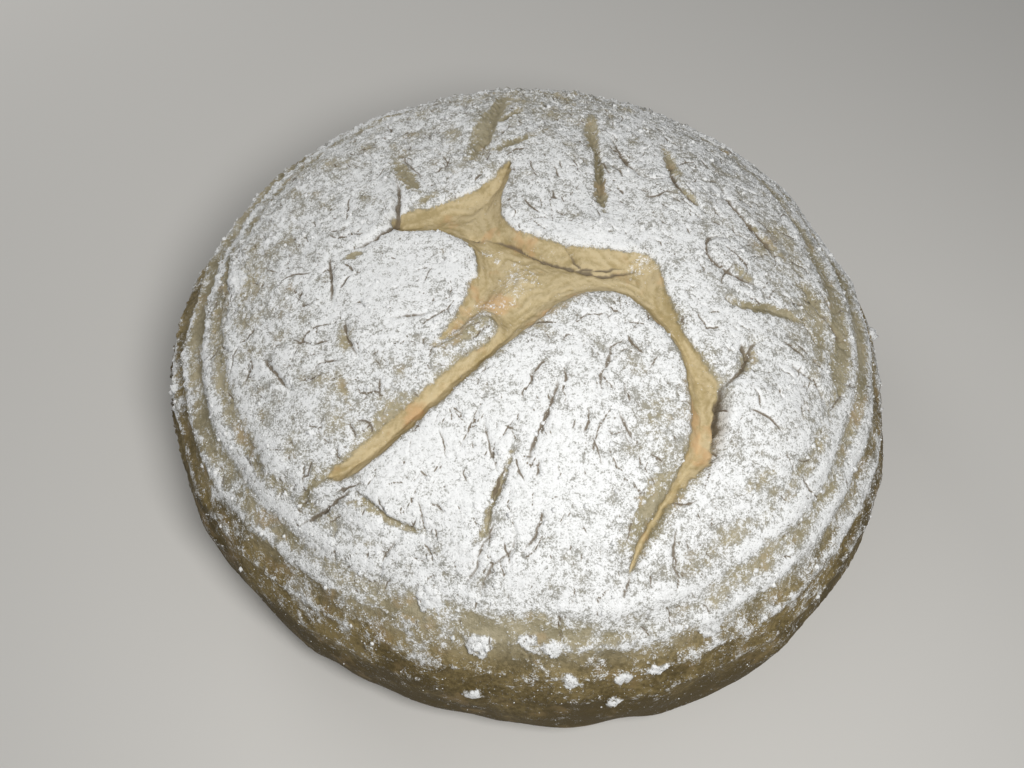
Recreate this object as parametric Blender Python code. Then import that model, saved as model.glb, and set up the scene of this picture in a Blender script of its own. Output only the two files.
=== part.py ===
"""A round hearth loaf, proved upside down in a coiled form and torn open at the crown.

The skin is laid out flat as a map: u runs to the right, v away from the viewer, and the
distance from the map's middle is the way down over the crust from the crown. The map is
wrapped over a domed body, and every mark on the crust is a relief in millimetres on it.
"""
import bmesh
import bpy
import numpy as np

MM = 0.001

# The plain body, in millimetres
RADIUS = 120.0
HEIGHT = 101.0
BELLY_HEIGHT = 26.0
FOOT_RADIUS = 105.0
SHOULDER_ROUNDNESS = 2.45
CROWN_ROUNDNESS = 2.25
TWO_LOBED = (0.021, -0.017)
THREE_LOBED = (-0.011, -0.004)

# Rings that the coiled form pressed into the side
FIRST_RING = 106.0
RING_PITCH = 12.2
RING_RELIEF = 1.25
RING_SWAY = 1.4
RING_UNEVENNESS = 0.35
RINGS_BEGIN = 84.0
RINGS_FULL = 116.0
RINGS_WEAKEN = (116.0, 150.0, 0.7)
FRONT_RING_LOSS = 0.65

# The tear at the crown
TEAR_DEPTH = 3.6
TEAR_SHOULDER = 4.2
FLOOR_RISE = 0.45
FLOOR_MIDDLE = 11.0
EDGE_CURL = 1.1
EDGE_REACH = 5.0
LIP_START = 2.0
SLIVER_RISE = 2.2
SLIVER_WIDTH = 3.2

# The mesh
MAP_RINGS = 160
KEPT_TRIANGLES = 10200
FOOT_FADE = 9.0
LEAST_CLEARANCE = 0.15

# Outlines on the map, anticlockwise, in millimetres
TEAR = (
    (-41, 19), (-29, 23), (-19, 29), (-12, 36), (-7, 43), (-8, 34), (-10, 25), (-8, 16),
    (-2, 11), (12, 7), (24, 6), (37, 4), (40, -7), (44, -21), (50, -30), (54, -39),
    (52, -57), (46, -64), (39, -74), (34, -83), (30, -92), (32, -83), (38, -72),
    (44, -59), (46, -47), (45, -36), (42, -26), (36, -18), (29, -11), (20, -9), (9, -14),
    (-3, -26), (-17, -39), (-29, -50), (-42, -61), (-53, -68), (-60, -67), (-53, -62),
    (-38, -50), (-22, -36), (-15, -31), (-9, -25), (-13, -20), (-20, -26), (-27, -30),
    (-22, -20), (-18, -10), (-15, -1), (-18, 6), (-27, 12), (-40, 13),
)
SLIVER = ((-26, -30), (-16, -21), (-8, -11), (-2, -4))

# Swellings: middle of the patch, its two radii, the turn of the first one, and the height
SWELLINGS = (
    (8, -46, 34, 27, 60, 2.6),
    (-42, -8, 19, 15, 80, 2.2),
    (70, -46, 22, 14, 75, 2.6),
    (20, 14, 7, 5, 0, 1.9),
    (-38, -72, 12, 8, 10, 2.2),
    (-78, -60, 8, 6, 30, 1.6),
    (-4, 62, 22, 14, 90, 1.4),
    (52, 30, 22, 13, 40, 1.6),
    (-72, 42, 26, 16, 60, 1.5),
    (-100, -20, 24, 10, 85, 0.9),
    (-97, 14, 11, 3.5, 80, 1.4),
    (-74, -30, 7, 5, 30, 1.3),
    (-62, 10, 9, 4, 80, 1.0),
    (64, 9, 9, 5, -30, 1.1),
    (33, -98, 18, 9, 15, 0.9),
)

# Lumps of caked flour that stick to the crust: middle, radius and height
LUMPS = (
    (-14, -119, 5.0, 1.6),
    (2, -116, 3.2, 1.1),
    (9, -118, 3.2, 1.0),
    (16, -130, 3.4, 1.2),
    (33, -127, 3.8, 1.2),
    (43, -123, 3.2, 1.0),
    (33, -140, 3.4, 1.2),
    (-18, -141, 3.0, 1.2),
    (-128, -21, 3.0, 2.0),
    (130, 8, 3.4, 2.2),
    (-77, 83, 3.4, 1.6),
    (-94, 6, 5.0, 1.2),
    (58, -106, 5.0, 1.2),
    (-29, -105, 5.0, 1.1),
    (-5, 19, 2.8, 1.2),
    (2, 11, 2.6, 1.0),
    (31, 8, 2.4, 0.9),
)

# Cracks: points, half width, depth, and the rise of the crust on the left of the line
CRACKS = (
    (((56, -33), (54, -39), (52, -46), (52, -57)), 1.7, 5.0, 2.2),
    (((54, -38), (60, -31), (64, -24), (67, -20)), 1.6, 2.2, 0.0),
    (((61, -22), (62, -27), (64, -29)), 1.4, 1.6, 0.0),
    (((-17, 12), (-6, 9), (3, 4), (12, 1), (21, -1), (30, 1), (35, 4)), 1.6, 1.3, 1.1),
    (((9, 9), (12, 5), (16, 1), (22, 1), (31, 3)), 1.2, 1.2, 0.6),
    (((-19, 13), (-16, 12), (-14, 11)), 1.8, 2.0, 0.0),
    (((-11, 92), (-13, 72), (-15, 58), (-18, 43)), 3.0, 2.2, 0.0),
    (((-14, 63), (-9, 68), (-4, 75)), 1.8, 1.4, 0.0),
    (((20, 67), (21, 54), (22, 41), (22, 31), (23, 21)), 1.8, 1.9, 0.4),
    (((27, 52), (32, 45), (37, 37)), 1.3, 1.2, 0.0),
    (((46, 52), (46, 42), (48, 34), (55, 25)), 1.7, 2.0, 0.6),
    (((62, 36), (67, 30), (74, 21), (79, 12)), 1.5, 1.5, 0.5),
    (((61, 16), (55, 14), (54, 8), (58, 3), (65, 0), (71, -1)), 1.5, 1.7, 0.8),
    (((59, -8), (64, -9), (73, -8), (82, -10)), 2.2, 1.1, 0.0),
    (((101, -12), (96, -5), (92, 1), (88, 7)), 1.8, 3.2, 1.4),
    (((75, -26), (81, -27), (87, -30), (91, -35)), 1.3, 1.2, 0.4),
    (((-60, 6), (-59, -1), (-58, -12)), 1.4, 1.3, 0.0),
    (((-54, -17), (-53, -24), (-50, -31)), 1.4, 1.4, 0.0),
    (((-40, -19), (-35, -19), (-29, -18)), 1.3, 1.1, 0.0),
    (((-81, -25), (-76, -32), (-71, -39)), 1.4, 1.3, 0.0),
    (((-55, 7), (-49, 8), (-44, 11), (-41, 17), (-41, 27), (-44, 37)), 1.5, 2.0, 1.8),
    (((-47, 53), (-42, 46), (-37, 38), (-33, 32)), 1.3, 1.1, 0.0),
    (((-102, 32), (-101, 18), (-97, 2)), 1.8, 1.2, 0.0),
    (((-52, -72), (-46, -76), (-40, -82), (-28, -86)), 1.8, 1.5, 0.5),
    (((-72, -81), (-63, -78), (-55, -74)), 1.6, 1.3, 0.0),
    (((-38, -86), (-43, -92), (-46, -99)), 1.4, 1.1, 0.0),
    (((-3, -59), (-6, -68), (-10, -77), (-12, -85), (-16, -89)), 1.8, 1.6, 0.0),
    (((-13, -53), (-10, -63), (-8, -69)), 1.2, 0.9, 0.0),
    (((9, -39), (6, -49), (2, -59), (0, -66)), 1.4, 1.3, 0.0),
    (((6, -77), (2, -86), (-1, -90)), 1.4, 1.2, 0.0),
    (((-7, -82), (-12, -88), (-15, -96), (-19, -101)), 1.4, 1.2, 0.0),
    (((-3, -82), (-4, -89), (-10, -95), (-12, -99), (-14, -106)), 1.4, 1.2, 0.0),
    (((23, -25), (22, -33), (20, -38), (20, -45)), 1.2, 0.9, 0.0),
    (((25, -47), (28, -53), (31, -57)), 1.2, 0.9, 0.0),
    (((30, -92), (29, -97), (28, -101)), 1.3, 1.2, 0.0),
    (((42, -76), (42, -88), (45, -94)), 1.2, 0.9, 0.0),
)

# Slow unevenness of the whole skin
WAVES = 14
WAVE_HEIGHT = 0.22
LONGEST_WAVE = 74.0
SHORTEST_WAVE = 17.0
WAVE_SEED = 5


def clear_scene():
    for item in list(bpy.data.objects):
        bpy.data.objects.remove(item, do_unlink=True)


def ease(value):
    """Run smoothly from 0 to 1 as the value does."""
    part = np.clip(value, 0.0, 1.0)
    return part * part * (3.0 - 2.0 * part)


def meridian():
    """Way down over the crust, with the radius and the height that it reaches."""
    turn = np.linspace(0.0, np.pi / 2, 1600)
    dome_radius = RADIUS * np.sin(turn) ** (2 / SHOULDER_ROUNDNESS)
    dome_height = BELLY_HEIGHT + (HEIGHT - BELLY_HEIGHT) * np.cos(turn) ** (2 / CROWN_ROUNDNESS)
    turn = turn[1:]
    under_radius = FOOT_RADIUS + (RADIUS - FOOT_RADIUS) * np.cos(turn)
    under_height = BELLY_HEIGHT * (1.0 - np.sin(turn))
    radius = np.concatenate((dome_radius, under_radius))
    height = np.concatenate((dome_height, under_height))
    steps = np.hypot(np.diff(radius), np.diff(height))
    return np.concatenate(((0.0,), np.cumsum(steps))), radius, height


WAY, WAY_RADIUS, WAY_HEIGHT = meridian()
RIM = WAY[-1]


def body_point(u, v):
    """Wrap a point of the map over the plain body."""
    way = np.hypot(u, v)
    angle = np.arctan2(v, u)
    out = 1.0 + TWO_LOBED[0] * np.cos(2 * angle) + TWO_LOBED[1] * np.sin(2 * angle)
    out += THREE_LOBED[0] * np.cos(3 * angle) + THREE_LOBED[1] * np.sin(3 * angle)
    radius = np.interp(way, WAY, WAY_RADIUS) * out
    height = np.interp(way, WAY, WAY_HEIGHT)
    return np.stack((radius * np.cos(angle), radius * np.sin(angle), height), axis=-1)


def body_normal(u, v):
    """Outward direction of the plain body, from two short steps on the map."""
    way = np.hypot(u, v)
    inward = np.minimum(1.0, (RIM - 0.2) / np.maximum(way, 0.2))
    u = u * inward
    v = v * inward
    step = 0.1
    across = body_point(u + step, v) - body_point(u - step, v)
    along = body_point(u, v + step) - body_point(u, v - step)
    normal = np.cross(across, along)
    return normal / np.linalg.norm(normal, axis=-1, keepdims=True)


def rounded(points, closed):
    """Draw a smooth line through a few points."""
    pins = np.array(points, dtype=float)
    count = len(pins)
    line = []
    for index in range(count if closed else count - 1):
        if closed:
            before, start, end, after = (pins[(index + k) % count] for k in (-1, 0, 1, 2))
        else:
            start, end = pins[index], pins[index + 1]
            before = pins[max(index - 1, 0)]
            after = pins[min(index + 2, count - 1)]
        for part in (0.0, 0.25, 0.5, 0.75):
            pull = -before + 3 * start - 3 * end + after
            bend = 2 * before - 5 * start + 4 * end - after
            line.append(start + 0.5 * part * ((end - before) + part * (bend + part * pull)))
    if not closed:
        line.append(pins[-1])
    return np.array(line)


def near_line(u, v, line, closed=False):
    """Distance to a line, its left or right side, and the share of its length reached."""
    ends = np.roll(line, -1, axis=0) if closed else line[1:]
    starts = line if closed else line[:-1]
    lengths = np.hypot(*(ends - starts).T)
    reached = np.concatenate(((0.0,), np.cumsum(lengths)))
    nearest = np.full(u.shape, 1e9)
    side = np.zeros(u.shape)
    share = np.zeros(u.shape)
    for index, (start, end) in enumerate(zip(starts, ends)):
        run_u, run_v = end - start
        off_u = u - start[0]
        off_v = v - start[1]
        part = np.clip((off_u * run_u + off_v * run_v) / max(lengths[index] ** 2, 1e-9), 0, 1)
        away = np.hypot(off_u - part * run_u, off_v - part * run_v)
        closer = away < nearest
        nearest = np.where(closer, away, nearest)
        side = np.where(closer, np.sign(run_u * off_v - run_v * off_u), side)
        share = np.where(closer, (reached[index] + part * lengths[index]) / reached[-1], share)
    return nearest, side, share


def inside(u, v, line):
    """True where a point lies within a closed line."""
    crossings = np.zeros(u.shape, dtype=int)
    for start, end in zip(line, np.roll(line, -1, axis=0)):
        spans = (start[1] > v) != (end[1] > v)
        slope = (end[0] - start[0]) / (end[1] - start[1] if end[1] != start[1] else 1e-9)
        crossings += spans & (u < start[0] + (v - start[1]) * slope)
    return crossings % 2 == 1


def tear_relief(u, v):
    """Sunk bare floor of the tear, with the crust curled up along its edge."""
    outline = rounded(TEAR, True)
    edge, _, _ = near_line(u, v, outline, closed=True)
    within = inside(u, v, outline)
    sink = ease(0.25 + 0.75 * edge / TEAR_SHOULDER) * TEAR_DEPTH
    sink *= 1.0 - FLOOR_RISE * ease((edge - TEAR_SHOULDER) / FLOOR_MIDDLE)
    rim = TEAR_DEPTH * ease(0.25 - 0.75 * edge / TEAR_SHOULDER)
    curl = EDGE_CURL * (edge / EDGE_REACH) * np.exp(1.0 - edge / EDGE_REACH)
    return np.where(within, -sink, curl - rim)


def sliver_relief(u, v):
    """Narrow strip of crust left standing inside the tear."""
    away, _, share = near_line(u, v, rounded(SLIVER, False))
    return SLIVER_RISE * (1.0 - share) ** 0.7 * np.exp(-((away / SLIVER_WIDTH) ** 2))


def crack_relief(u, v, crack):
    """Groove that narrows to both ends, with one side lifted where the crust overlaps."""
    points, half_width, depth, lift = crack
    away, side, share = near_line(u, v, rounded(points, False))
    taper = np.sin(np.pi * np.clip(share, 0.03, 0.97)) ** 0.5
    groove = depth * taper * np.exp(-((away / half_width) ** 2))
    lip = lift * taper * ease(away / LIP_START) * np.exp(-((away / EDGE_REACH) ** 2))
    return np.where(side > 0, lip, 0.0) - groove


def lump_relief(u, v, lump):
    """Round lump with steep sides."""
    middle_u, middle_v, radius, height = lump
    away = np.hypot(u - middle_u, v - middle_v)
    return height * ease(1.5 - 1.5 * away / radius)


def swelling_relief(u, v, swelling):
    """Plump patch of crust."""
    middle_u, middle_v, long_radius, short_radius, turn, height = swelling
    angle = np.radians(turn)
    long_way = (u - middle_u) * np.cos(angle) + (v - middle_v) * np.sin(angle)
    short_way = (v - middle_v) * np.cos(angle) - (u - middle_u) * np.sin(angle)
    return height * np.exp(-((long_way / long_radius) ** 2) - (short_way / short_radius) ** 2)


def ring_relief(u, v):
    """Ridges left by the coils of the form."""
    way = np.hypot(u, v)
    angle = np.arctan2(v, u)
    sway = RING_SWAY * (np.sin(2 * angle + 0.6) + 0.6 * np.sin(5 * angle + 2.0))
    turn = 2 * np.pi * (way - FIRST_RING - sway) / RING_PITCH
    crest = (0.5 + 0.5 * np.cos(turn)) ** 1.4
    strength = ease((way - RINGS_BEGIN) / (RINGS_FULL - RINGS_BEGIN))
    strength *= 1.0 + RING_UNEVENNESS * (np.sin(3 * angle - 1.4) + 0.7 * np.sin(8 * angle))
    strength *= 1.0 - FRONT_RING_LOSS * np.maximum(-np.sin(angle), 0.0) ** 3
    start, end, share = RINGS_WEAKEN
    strength *= 1.0 - share * ease((way - start) / (end - start))
    return RING_RELIEF * strength * (crest - 1.0)


def wave_relief(u, v):
    """Slow unevenness, from seeded waves that run every way."""
    draw = np.random.default_rng(WAVE_SEED)
    total = np.zeros(u.shape)
    for length in np.geomspace(LONGEST_WAVE, SHORTEST_WAVE, WAVES):
        heading, start = draw.uniform(0.0, 2 * np.pi, 2)
        run = (u * np.cos(heading) + v * np.sin(heading)) * 2 * np.pi / length
        total += WAVE_HEIGHT * (length / LONGEST_WAVE) ** 0.5 * np.sin(run + start)
    return total


def relief(u, v):
    """Height of the crust over the plain body at each point of the map."""
    total = tear_relief(u, v) + sliver_relief(u, v) + ring_relief(u, v) + wave_relief(u, v)
    for swelling in SWELLINGS:
        total += swelling_relief(u, v, swelling)
    for lump in LUMPS:
        total += lump_relief(u, v, lump)
    for crack in CRACKS:
        total += crack_relief(u, v, crack)
    return total


def map_mesh():
    """Points and triangles of the map: a middle point and rings of six more points each."""
    points = [(0.0, 0.0)]
    triangles = []
    first = [0]
    for ring in range(1, MAP_RINGS + 1):
        first.append(len(points))
        angles = 2 * np.pi * np.arange(6 * ring) / (6 * ring)
        way = RIM * ring / MAP_RINGS
        points.extend(zip(way * np.cos(angles), way * np.sin(angles)))
    for ring in range(1, MAP_RINGS + 1):
        outer_count = 6 * ring
        inner_count = max(6 * (ring - 1), 1)
        for sector in range(6):
            for step in range(ring):
                outer = first[ring] + sector * ring + step
                outer_next = first[ring] + (sector * ring + step + 1) % outer_count
                inner = first[ring - 1] + (sector * (ring - 1) + step) % inner_count
                triangles.append((outer, outer_next, inner))
                if step < ring - 1:
                    inner_next = first[ring - 1] + (sector * (ring - 1) + step + 1) % inner_count
                    triangles.append((inner, outer_next, inner_next))
    return np.array(points), triangles


def skin_points(flat):
    """Wrap the map over the body and add the relief, fading it out towards the foot."""
    u, v = flat.T
    points = body_point(u, v)
    fade = ease(points[:, 2] / FOOT_FADE)
    points += body_normal(u, v) * (relief(u, v) * fade)[:, None]
    on_rim = np.hypot(u, v) > RIM - 0.01
    points[:, 2] = np.where(on_rim, 0.0, np.maximum(points[:, 2], LEAST_CLEARANCE))
    return points


def thinned(mesh):
    """Keep most triangles where the crust bends most."""
    work = bpy.data.objects.new("work", mesh)
    bpy.context.scene.collection.objects.link(work)
    decimate = work.modifiers.new("thin", "DECIMATE")
    decimate.ratio = KEPT_TRIANGLES / len(mesh.polygons)
    evaluated = work.evaluated_get(bpy.context.evaluated_depsgraph_get())
    result = bpy.data.meshes.new_from_object(evaluated)
    bpy.data.objects.remove(work, do_unlink=True)
    return result


def close_foot(mesh):
    """Set the rim on the ground, fill the flat foot and centre the loaf over the origin."""
    shape = bmesh.new()
    shape.from_mesh(mesh)
    rim_edges = [edge for edge in shape.edges if edge.is_boundary]
    for edge in rim_edges:
        for vertex in edge.verts:
            vertex.co.z = 0.0
    bmesh.ops.contextual_create(shape, geom=rim_edges)
    bmesh.ops.recalc_face_normals(shape, faces=shape.faces)
    places = np.array([vertex.co[:] for vertex in shape.verts])
    middle = (places.min(axis=0) + places.max(axis=0)) / 2
    bmesh.ops.translate(shape, verts=shape.verts, vec=(-middle[0], -middle[1], 0.0))
    shape.to_mesh(mesh)
    shape.free()


def crust_material():
    material = bpy.data.materials.new("floured_crust")
    material.use_nodes = True
    shader = material.node_tree.nodes["Principled BSDF"]
    shader.inputs["Base Color"].default_value = (0.62, 0.58, 0.50, 1.0)
    shader.inputs["Roughness"].default_value = 0.9
    shader.inputs["Metallic"].default_value = 0.0
    return material


def make_loaf():
    flat, triangles = map_mesh()
    skin = bpy.data.meshes.new("skin")
    skin.from_pydata((skin_points(flat) * MM).tolist(), [], triangles)
    skin.update()
    mesh = thinned(skin)
    bpy.data.meshes.remove(skin)
    close_foot(mesh)
    mesh.name = "loaf"
    loaf = bpy.data.objects.new("loaf", mesh)
    bpy.context.scene.collection.objects.link(loaf)
    mesh.materials.clear()
    mesh.materials.append(crust_material())
    mesh.shade_smooth()
    return loaf


clear_scene()
make_loaf()
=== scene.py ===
"""Floured hearth loaf: the crust as fine meshes, with caked and loose flour on it."""

import bmesh
import bpy
import numpy as np
from mathutils import Matrix, Quaternion, Vector
from mathutils.kdtree import KDTree


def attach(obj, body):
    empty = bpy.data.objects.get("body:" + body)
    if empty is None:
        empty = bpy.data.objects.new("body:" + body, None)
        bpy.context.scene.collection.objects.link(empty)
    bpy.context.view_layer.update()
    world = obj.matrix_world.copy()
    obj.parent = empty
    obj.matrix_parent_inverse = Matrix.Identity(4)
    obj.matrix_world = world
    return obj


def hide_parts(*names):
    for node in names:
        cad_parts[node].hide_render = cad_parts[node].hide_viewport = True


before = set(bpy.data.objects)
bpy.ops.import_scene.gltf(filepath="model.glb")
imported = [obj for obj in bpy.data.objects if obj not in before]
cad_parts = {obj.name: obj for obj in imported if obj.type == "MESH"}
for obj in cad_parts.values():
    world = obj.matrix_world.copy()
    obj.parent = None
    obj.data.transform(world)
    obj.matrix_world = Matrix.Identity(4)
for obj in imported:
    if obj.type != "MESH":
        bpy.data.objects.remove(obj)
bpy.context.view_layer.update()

MM = 0.001

# The plain body, in millimetres
RADIUS = 120.0
HEIGHT = 101.0
BELLY_HEIGHT = 26.0
FOOT_RADIUS = 105.0
SHOULDER_ROUNDNESS = 2.45
CROWN_ROUNDNESS = 2.25
TWO_LOBED = (0.021, -0.017)
THREE_LOBED = (-0.011, -0.004)

# Rings that the coiled form pressed into the side
FIRST_RING = 106.0
RING_PITCH = 12.2
RING_RELIEF = 1.25
RING_SWAY = 1.4
RING_UNEVENNESS = 0.35
RINGS_BEGIN = 84.0
RINGS_FULL = 116.0
RINGS_WEAKEN = (116.0, 150.0, 0.7)
FRONT_RING_LOSS = 0.65

# The tear at the crown
TEAR_DEPTH = 3.6
TEAR_SHOULDER = 4.2
FLOOR_RISE = 0.45
FLOOR_MIDDLE = 11.0
EDGE_CURL = 1.1
EDGE_REACH = 5.0
LIP_START = 2.0
SLIVER_RISE = 2.2
SLIVER_WIDTH = 3.2

# Outline of the tear on the map, anticlockwise, and the sliver's line, in millimetres
TEAR = (
    (-41, 19), (-29, 23), (-19, 29), (-12, 36), (-7, 43), (-8, 34), (-10, 25), (-8, 16),
    (-2, 11), (12, 7), (24, 6), (37, 4), (40, -7), (44, -21), (50, -30), (54, -39),
    (52, -57), (46, -64), (39, -74), (34, -83), (30, -92), (32, -83), (38, -72),
    (44, -59), (46, -47), (45, -36), (42, -26), (36, -18), (29, -11), (20, -9), (9, -14),
    (-3, -26), (-17, -39), (-29, -50), (-42, -61), (-53, -68), (-60, -67), (-53, -62),
    (-38, -50), (-22, -36), (-15, -31), (-9, -25), (-13, -20), (-20, -26), (-27, -30),
    (-22, -20), (-18, -10), (-15, -1), (-18, 6), (-27, 12), (-40, 13),
)
SLIVER = ((-26, -30), (-16, -21), (-8, -11), (-2, -4))

# Swellings: middle of the patch, its two radii, the turn of the first one, and the height
SWELLINGS = (
    (8, -46, 34, 27, 60, 2.6), (-42, -8, 19, 15, 80, 2.2), (70, -46, 22, 14, 75, 2.6),
    (20, 14, 7, 5, 0, 1.9), (-38, -72, 12, 8, 10, 2.2), (-78, -60, 8, 6, 30, 1.6),
    (-4, 62, 22, 14, 90, 1.4), (52, 30, 22, 13, 40, 1.6), (-72, 42, 26, 16, 60, 1.5),
    (-100, -20, 24, 10, 85, 0.9), (-97, 14, 11, 3.5, 80, 1.4), (-74, -30, 7, 5, 30, 1.3),
    (-62, 10, 9, 4, 80, 1), (64, 9, 9, 5, -30, 1.1), (33, -98, 18, 9, 15, 0.9),
)

# Lumps of caked flour that stick to the crust: middle, radius and height
LUMPS = (
    (-14, -119, 5, 1.6), (2, -116, 3.2, 1.1), (9, -118, 3.2, 1), (16, -130, 3.4, 1.2),
    (33, -127, 3.8, 1.2), (43, -123, 3.2, 1), (33, -140, 3.4, 1.2), (-18, -141, 3, 1.2),
    (-128, -21, 3, 2), (130, 8, 3.4, 2.2), (-77, 83, 3.4, 1.6), (-94, 6, 5, 1.2),
    (58, -106, 5, 1.2), (-29, -105, 5, 1.1), (-5, 19, 2.8, 1.2), (2, 11, 2.6, 1),
    (31, 8, 2.4, 0.9),
)

# Cracks: points, half width, depth, and the rise of the crust on the left of the line
CRACKS = (
    (((56, -33), (54.6, -39), (53.8, -47), (52.6, -57)), 1.7, 5, 2.2),
    (((54, -38), (60, -31), (64, -24), (67, -20)), 1.6, 2.2, 0),
    (((61, -22), (62, -27), (64, -29)), 1.4, 1.6, 0),
    (((-17, 12), (-6, 9), (3, 4), (12, 1), (21, -1), (30, 1), (35, 4)), 1.6, 1.3, 1.1),
    (((9, 9), (12, 5), (16, 1), (22, 1), (31, 3)), 1.2, 1.2, 0.6),
    (((-19, 13), (-16, 12), (-14, 11)), 1.8, 2, 0),
    (((-11, 92), (-13, 72), (-15, 58), (-18, 43)), 3, 2.2, 0),
    (((-14, 63), (-9, 68), (-4, 75)), 1.8, 1.4, 0),
    (((20, 67), (21, 54), (22, 41), (22, 31), (23, 21)), 1.8, 1.9, 0.4),
    (((27, 52), (32, 45), (37, 37)), 1.3, 1.2, 0),
    (((46, 52), (46, 42), (48, 34), (55, 25)), 1.7, 2, 0.6),
    (((62, 36), (67, 30), (74, 21), (79, 12)), 1.5, 1.5, 0.5),
    (((61, 16), (55, 14), (54, 8), (58, 3), (65, 0), (71, -1)), 1.5, 1.7, 0.8),
    (((59, -8), (64, -9), (73, -8), (82, -10)), 2.2, 1.1, 0),
    (((101, -12), (96, -5), (92, 1), (88, 7)), 1.8, 3.2, 1.4),
    (((75, -26), (81, -27), (87, -30), (91, -35)), 1.3, 1.2, 0.4),
    (((-60, 6), (-59, -1), (-58, -12)), 1.4, 1.3, 0),
    (((-54, -17), (-53, -24), (-50, -31)), 1.4, 1.4, 0),
    (((-40, -19), (-35, -19), (-29, -18)), 1.3, 1.1, 0),
    (((-81, -25), (-76, -32), (-71, -39)), 1.4, 1.3, 0),
    (((-55, 7), (-49, 8), (-44, 11), (-41, 17), (-41, 27), (-44, 37)), 1.5, 2, 1.8),
    (((-47, 53), (-42, 46), (-37, 38), (-33, 32)), 1.3, 1.1, 0),
    (((-102, 32), (-101, 18), (-97, 2)), 1.8, 1.2, 0),
    (((-52, -72), (-46, -76), (-40, -82), (-28, -86)), 1.8, 1.5, 0.5),
    (((-72, -81), (-63, -78), (-55, -74)), 1.6, 1.3, 0),
    (((-38, -86), (-43, -92), (-46, -99)), 1.4, 1.1, 0),
    (((-3, -59), (-6, -68), (-10, -77), (-12, -85), (-16, -89)), 1.8, 1.6, 0),
    (((-13, -53), (-10, -63), (-8, -69)), 1.2, 0.9, 0),
    (((9, -39), (6, -49), (2, -59), (0, -66)), 1.4, 1.3, 0),
    (((6, -77), (2, -86), (-1, -90)), 1.4, 1.2, 0),
    (((-7, -82), (-12, -88), (-15, -96), (-19, -101)), 1.4, 1.2, 0),
    (((-3, -82), (-4, -89), (-10, -95), (-12, -99), (-14, -106)), 1.4, 1.2, 0),
    (((23, -25), (22, -33), (20, -38), (20, -45)), 1.2, 0.9, 0),
    (((25, -47), (28, -53), (31, -57)), 1.2, 0.9, 0),
    (((30, -92), (29, -97), (28, -101)), 1.3, 1.2, 0),
    (((42, -76), (42, -88), (45, -94)), 1.2, 0.9, 0),
)

# Slow unevenness of the whole skin
WAVES = 14
WAVE_HEIGHT = 0.22
LONGEST_WAVE = 74.0
SHORTEST_WAVE = 17.0
WAVE_SEED = 5
FOOT_FADE = 9.0
LEAST_CLEARANCE = 0.15

# The meshes: rings of points down the map, and the last ring of each piece
CROWN_RINGS = 225
CROWN_END = 101.0
UPPER_ROWS = 72
UPPER_END = 150.0
LOWER_ROWS = 40
PIECES = (("crown_crust", 177), ("shoulder_crust", 235), ("side_crust", 290), ("foot_crust", 337))

# Fine cracks in the flour: half width, and the points of each crack
FINE_CRACKS = (
    (0.35, (
        ((10, -105), (12, -117)),
    )),
    (0.4, (
        ((-4, -53), (-8, -59)), ((27, -40), (28, -45)), ((22, -58), (25, -63), (28, -65)),
        ((22, -101), (21, -106)), ((2, -37), (-2, -48)), ((-12, -45), (-17, -56), (-20, -62)),
        ((11, -34), (10, -42), (11, -48)), ((-28, -76), (-24, -80)), ((49, 5), (51, 3), (52, -1)),
        ((84, -9), (86, -12), (90, -16)), ((5, -78), (4, -83)),
        ((20, -103), (22, -100), (24, -97)), ((-47, -70), (-53, -71), (-58, -72)),
        ((13, 44), (16, 38)), ((-58, -37), (-54, -36)), ((-87, 2), (-84, 1)),
        ((-69, -10), (-65, -11)), ((-52, -11), (-48, -14)),
    )),
    (0.45, (
        ((17, -48), (16, -56)), ((-55, 60), (-52, 54)), ((22, 47), (25, 39), (26, 37)),
        ((27, 44), (29, 40), (32, 37)), ((27, 34), (30, 29)), ((7, 39), (9, 34)),
        ((6, 30), (8, 25)), ((-62, 14), (-56, 11), (-54, 13), (-51, 12), (-48, 11)),
        ((-67, -35), (-64, -36), (-60, -35)), ((-40, -28), (-37, -26)),
    )),
    (0.5, (
        ((26, -23), (30, -28), (32, -30)), ((-51, -72), (-54, -73), (-61, -77)),
        ((-42, 58), (-41, 51)), ((-5, -64), (-9, -74), (-11, -82)), ((-36, 62), (-34, 57)),
        ((-32, 49), (-28, 44), (-28, 39)), ((-65, 74), (-62, 67)), ((57, 29), (61, 23)),
        ((-72, -22), (-63, -24), (-58, -24)),
    )),
    (0.55, (
        ((4, -64), (3, -69)), ((-52, 74), (-50, 69), (-49, 63)),
        ((26, 60), (30, 50), (33, 44), (37, 39)), ((46, 32), (51, 26)),
        ((-62, -31), (-60, -31), (-55, -31)),
    )),
    (0.6, (
        ((49, 38), (53, 31)),
    )),
    (0.9, (
        ((-18, 12), (-15, 12)),
    )),
    (1.0, (
        ((63, 42), (64, 36), (67, 30), (70, 26), (73, 21), (76, 19), (79, 14)),
    )),
    (1.4, (
        ((89, 4), (91, -1), (95, -4), (100, -7), (101, -12)),
    )),
)

# From which half width the floor of a crack shows bare, how dark the line of a wide shallow
# crack is, and up to which depth a crack is shallow; the dark line is partly crust brown and
# partly painted shade in a crack's depth
OPEN_SPLIT = 1.75
NARROW_SPLIT = 0.7
WIDE_LINE_SHADE = 0.6
SHALLOW_SPLIT = 1.25
FINE_DEPTH = 1.5
LINE_SHARE = 0.42

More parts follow.
